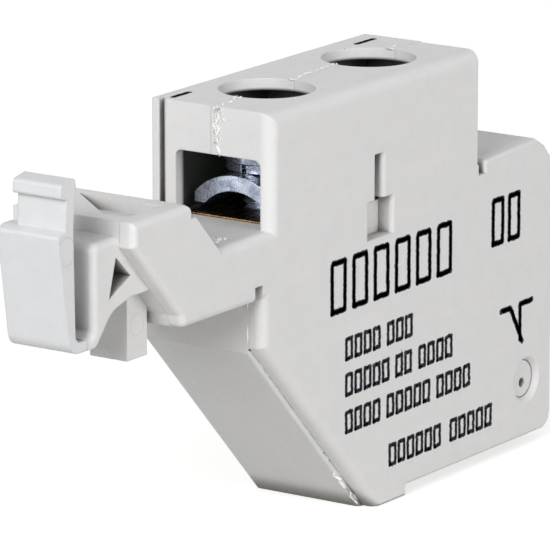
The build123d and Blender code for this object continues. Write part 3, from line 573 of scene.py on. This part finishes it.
class CONTACT_OT_flash(bpy.types.Operator):
    """Makes the torn flash and crumbs that stand on the seams between the two mouldings"""
    bl_idname = "contact_block.flash"
    bl_label = "Mould flash"

    def execute(self, context):
        looks = context.scene.contact_block
        size = looks.in_mm()
        plastic = moulded_polyamide("Moulded polyamide, flash", linear("FAFAF8"), shade=0.0)
        shadow_flecks = moulded_polyamide("Dark flecks of painted seam shadow", linear("4A4136"))
        left, near, up, down, slope = (-1, 0, 0), (0, 1, 0), (0, 0, 1), (0, 0, -1), (-0.717, 0, -0.698)
        # Each ridge: path, way out, then width, height and sideways stray as multiples of the flash's sizes, and
        # cover, above which the ridge has fewer breaks
        ridges = {
            "end": (((0, 4.35, 27.4), (0, 4.45, 28.6), (0, 4.4, 30.75)), left, 1.2, 1.2, 0.6, 1.15),
            "end_loop_1": (((0, 4.55, 28.2), (0, 4.55, 30.8)), left, 1.0, 1.4, 1.3, 0.75),
            "end_loop_2": (((0, 4.25, 28.9), (0, 4.25, 30.85)), left, 1.1, 1.6, 1.5, 0.75),
            "top_left": (((0.12, 4.45, TOP), (1.6, 4.6, TOP), (3.45, 5.2, TOP)), up, 1.0, 1.2, 0.6, 1.0),
            "top_mid": (((10.15, 5.1, TOP), (12.6, 5.55, TOP), (16.3, 5.75, TOP)), up, 0.9, 0.9, 0.3, 1.1),
            "top_right": (((22.9, 5.25, TOP), (24.3, 5.9, TOP)), up, 1.0, 1.1, 0.5, 0.9),
            "slope": (((-0.8, 1.22, 14.36), (13.0, 1.22, 0.15)), slope, 0.5, 0.7, 0.1, 0.55),
            "slope_foot": (((9.6, 1.3, 3.3), (12.9, 1.3, 0.05)), slope, 1.3, 1.8, 0.4, 1.0),
            "wall": (((-0.96, 1.3, 18.0), (-0.96, 1.3, 14.6)), left, 0.5, 0.9, 0.1, 0.9),
            "nose_under": (((-9.0, 1.25, 18.07), (-1.2, 1.25, 18.07)), down, 0.5, 0.7, 0.3, 0.5),
            "ledge": (((-5.4, 1.6, LEDGE), (-2.4, 1.9, LEDGE)), up, 2.6, 0.8, 0.8, 0.8),
        }
        for number, (name, (path, out, *shape)) in enumerate(ridges.items()):
            width, rise, stray, cover = shape
            points, faces = ridge_surface(path, out, near, width * size.flash_width, rise * size.flash_height,
                                          number, cover, stray * size.flash_width)
            put_mesh(f"seam_flash_{name}", points, faces, plastic, "housing")
        # Crumbs torn off the seam on the end face, at the rims of the access holes and on the ledge
        draw = np.random.default_rng(11)
        count = 170
        heights = 30.85 - 3.2 * draw.beta(1, 1.8, count)
        spread = 0.05 + 0.06 * np.clip(heights - 28, 0, None)
        drops = [np.stack([np.full(count, -0.02), 4.42 + spread * draw.normal(0, 1, count), heights], -1)]
        rim = TOP - 0.01
        for x, y, z, wide, count in ((10.15, 5.2, rim, 0.14, 22), (16.2, 5.75, rim, 0.1, 8),
                                     (22.95, 5.4, rim, 0.14, 14), (3.3, 5.0, rim, 0.16, 16),
                                     (0.1, 4.45, TOP - 0.05, 0.22, 22), (-3.5, 1.8, LEDGE + 0.01, 0.45, 14)):
            flat = draw.normal(0, wide, (2, count))
            drops.append(np.stack([x + flat[0], y + flat[1], np.full(count, z)], -1))
        drops = np.concatenate(drops)
        points, faces = crumb_surface(drops, draw.uniform(0.035, 0.1, len(drops)), 3)
        put_mesh("flash_crumbs", points, faces, plastic, "housing")
        # Painted shadow: dark flecks in the parting line of the slope, where the gaps between the mouldings lie in
        # shade
        t = np.array([0.0, 0.004, 0.66, 0.675, 0.69, 0.71, 0.73, 0.76, 0.79])[:, None]
        specks = (1 - t) * np.array([-0.84, 1.24, 14.4]) + t * np.array([13.0, 1.24, 0.18])
        points, faces = crumb_surface(specks, np.array([0.14, 0.11, 0.1, 0.07, 0.06, 0.09, 0.05, 0.07, 0.05]), 4)
        put_mesh("seam_shadow_flecks", points, faces, shadow_flecks, "housing")
        return {"FINISHED"}


class CONTACT_OT_stage(bpy.types.Operator):
    """Sets the pale floor, the soft lights and the camera"""
    bl_idname = "contact_block.stage"
    bl_label = "Stage"

    def execute(self, context):
        scene = context.scene
        scene.view_settings.view_transform = "Standard"
        material, tree, output = new_material("Pale studio floor")
        matt = add(tree, "ShaderNodeBsdfDiffuse", {"Color": linear("CCCCCA")}).outputs[0]
        glow = add(tree, "ShaderNodeEmission", {
            "Color": (1, 1, 1, 1), "Strength": times(tree, seen_directly(tree), 0.66)}).outputs[0]
        tree.links.new(add(tree, "ShaderNodeAddShader", {0: matt, 1: glow}).outputs[0], output.inputs["Surface"])
        around = np.linspace(0, 2 * np.pi, 64, endpoint=False)
        disc = np.stack([3000 * np.cos(around), 3000 * np.sin(around), np.full(64, -0.02)], -1)
        mesh = bpy.data.meshes.new("floor")
        mesh.from_pydata(disc * MM, [], [list(range(64))])
        mesh.materials.append(material)
        floor = bpy.data.objects.new("floor", mesh)
        scene.collection.objects.link(floor)

        world = bpy.data.worlds.new("Studio")
        world.use_nodes = True
        scene.world = world
        tree = world.node_tree
        tree.nodes.clear()
        sky = add(tree, "ShaderNodeBackground", {
            "Color": (1, 1, 1, 1), "Strength": ramp(tree, seen_directly(tree), 0.0, 1.0, 0.27, 1.0)})
        tree.links.new(sky.outputs[0], add(tree, "ShaderNodeOutputWorld").inputs["Surface"])

        target = Vector((0.0, 0.0, 0.016))
        # Discs of light: way from the target, distance and span in metres, power in watts
        for name, way, distance, span, power in (
                ("end_light", (-0.88, -0.12, 0.45), 0.7, 0.4, 3.7),
                ("side_light", (-0.12, -0.95, 0.28), 0.7, 0.4, 2.4),
                ("back_light", (0.75, 0.65, 0.08), 0.8, 0.6, 0.9)):
            lamp = bpy.data.lights.new(name, "AREA")
            lamp.shape, lamp.size, lamp.energy = "DISK", span, power
            obj = bpy.data.objects.new(name, lamp)
            obj.location = target + distance * Vector(way).normalized()
            obj.rotation_euler = (target - obj.location).to_track_quat("-Z", "Y").to_euler()
            scene.collection.objects.link(obj)

        # The camera solved from the photograph's edges: sensor and focal length in mm, the rest in metres
        lens = bpy.data.cameras.new("camera")
        lens.sensor_width, lens.lens = 36.0, 384.1
        lens.clip_start, lens.clip_end = 0.01, 20.0
        camera = bpy.data.objects.new("camera", lens)
        camera.location = (-0.33605, -0.2241, 0.1154)
        camera.rotation_euler = Vector((0.8023, 0.5470, -0.2392)).to_track_quat("-Z", "Y").to_euler()
        scene.collection.objects.link(camera)
        scene.camera = camera
        return {"FINISHED"}


OPERATORS = (CONTACT_OT_mouldings, CONTACT_OT_metalwork, CONTACT_OT_screws, CONTACT_OT_spring, CONTACT_OT_marking,
             CONTACT_OT_flash, CONTACT_OT_stage)


class CONTACT_PT_panel(bpy.types.Panel):
    """Sizes and colours of the block, and the steps that make its looks"""
    bl_idname = "CONTACT_PT_panel"
    bl_label = "Contact block"
    bl_space_type = "VIEW_3D"
    bl_region_type = "UI"
    bl_category = "Contact block"

    def draw(self, context):
        looks = context.scene.contact_block
        for name in ContactBlockLooks.__annotations__:
            self.layout.prop(looks, name)
        for operator in OPERATORS:
            self.layout.operator(operator.bl_idname)


CLASSES = (ContactBlockLooks, *OPERATORS, CONTACT_PT_panel)


def register():
    """Registers the classes and hangs their settings on the scene."""
    for cls in CLASSES:
        bpy.utils.register_class(cls)
    bpy.types.Scene.contact_block = bpy.props.PointerProperty(type=ContactBlockLooks)


def unregister():
    """Takes the settings and the classes away again."""
    del bpy.types.Scene.contact_block
    for cls in reversed(CLASSES):
        bpy.utils.unregister_class(cls)


def main():
    """Registers the add-on and makes the looks in order."""
    register()
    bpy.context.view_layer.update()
    bpy.ops.contact_block.mouldings()
    bpy.ops.contact_block.metalwork()
    bpy.ops.contact_block.screws()
    bpy.ops.contact_block.spring()
    bpy.ops.contact_block.marking()
    bpy.ops.contact_block.flash()
    bpy.ops.contact_block.stage()


if __name__ == "__main__":
    main()
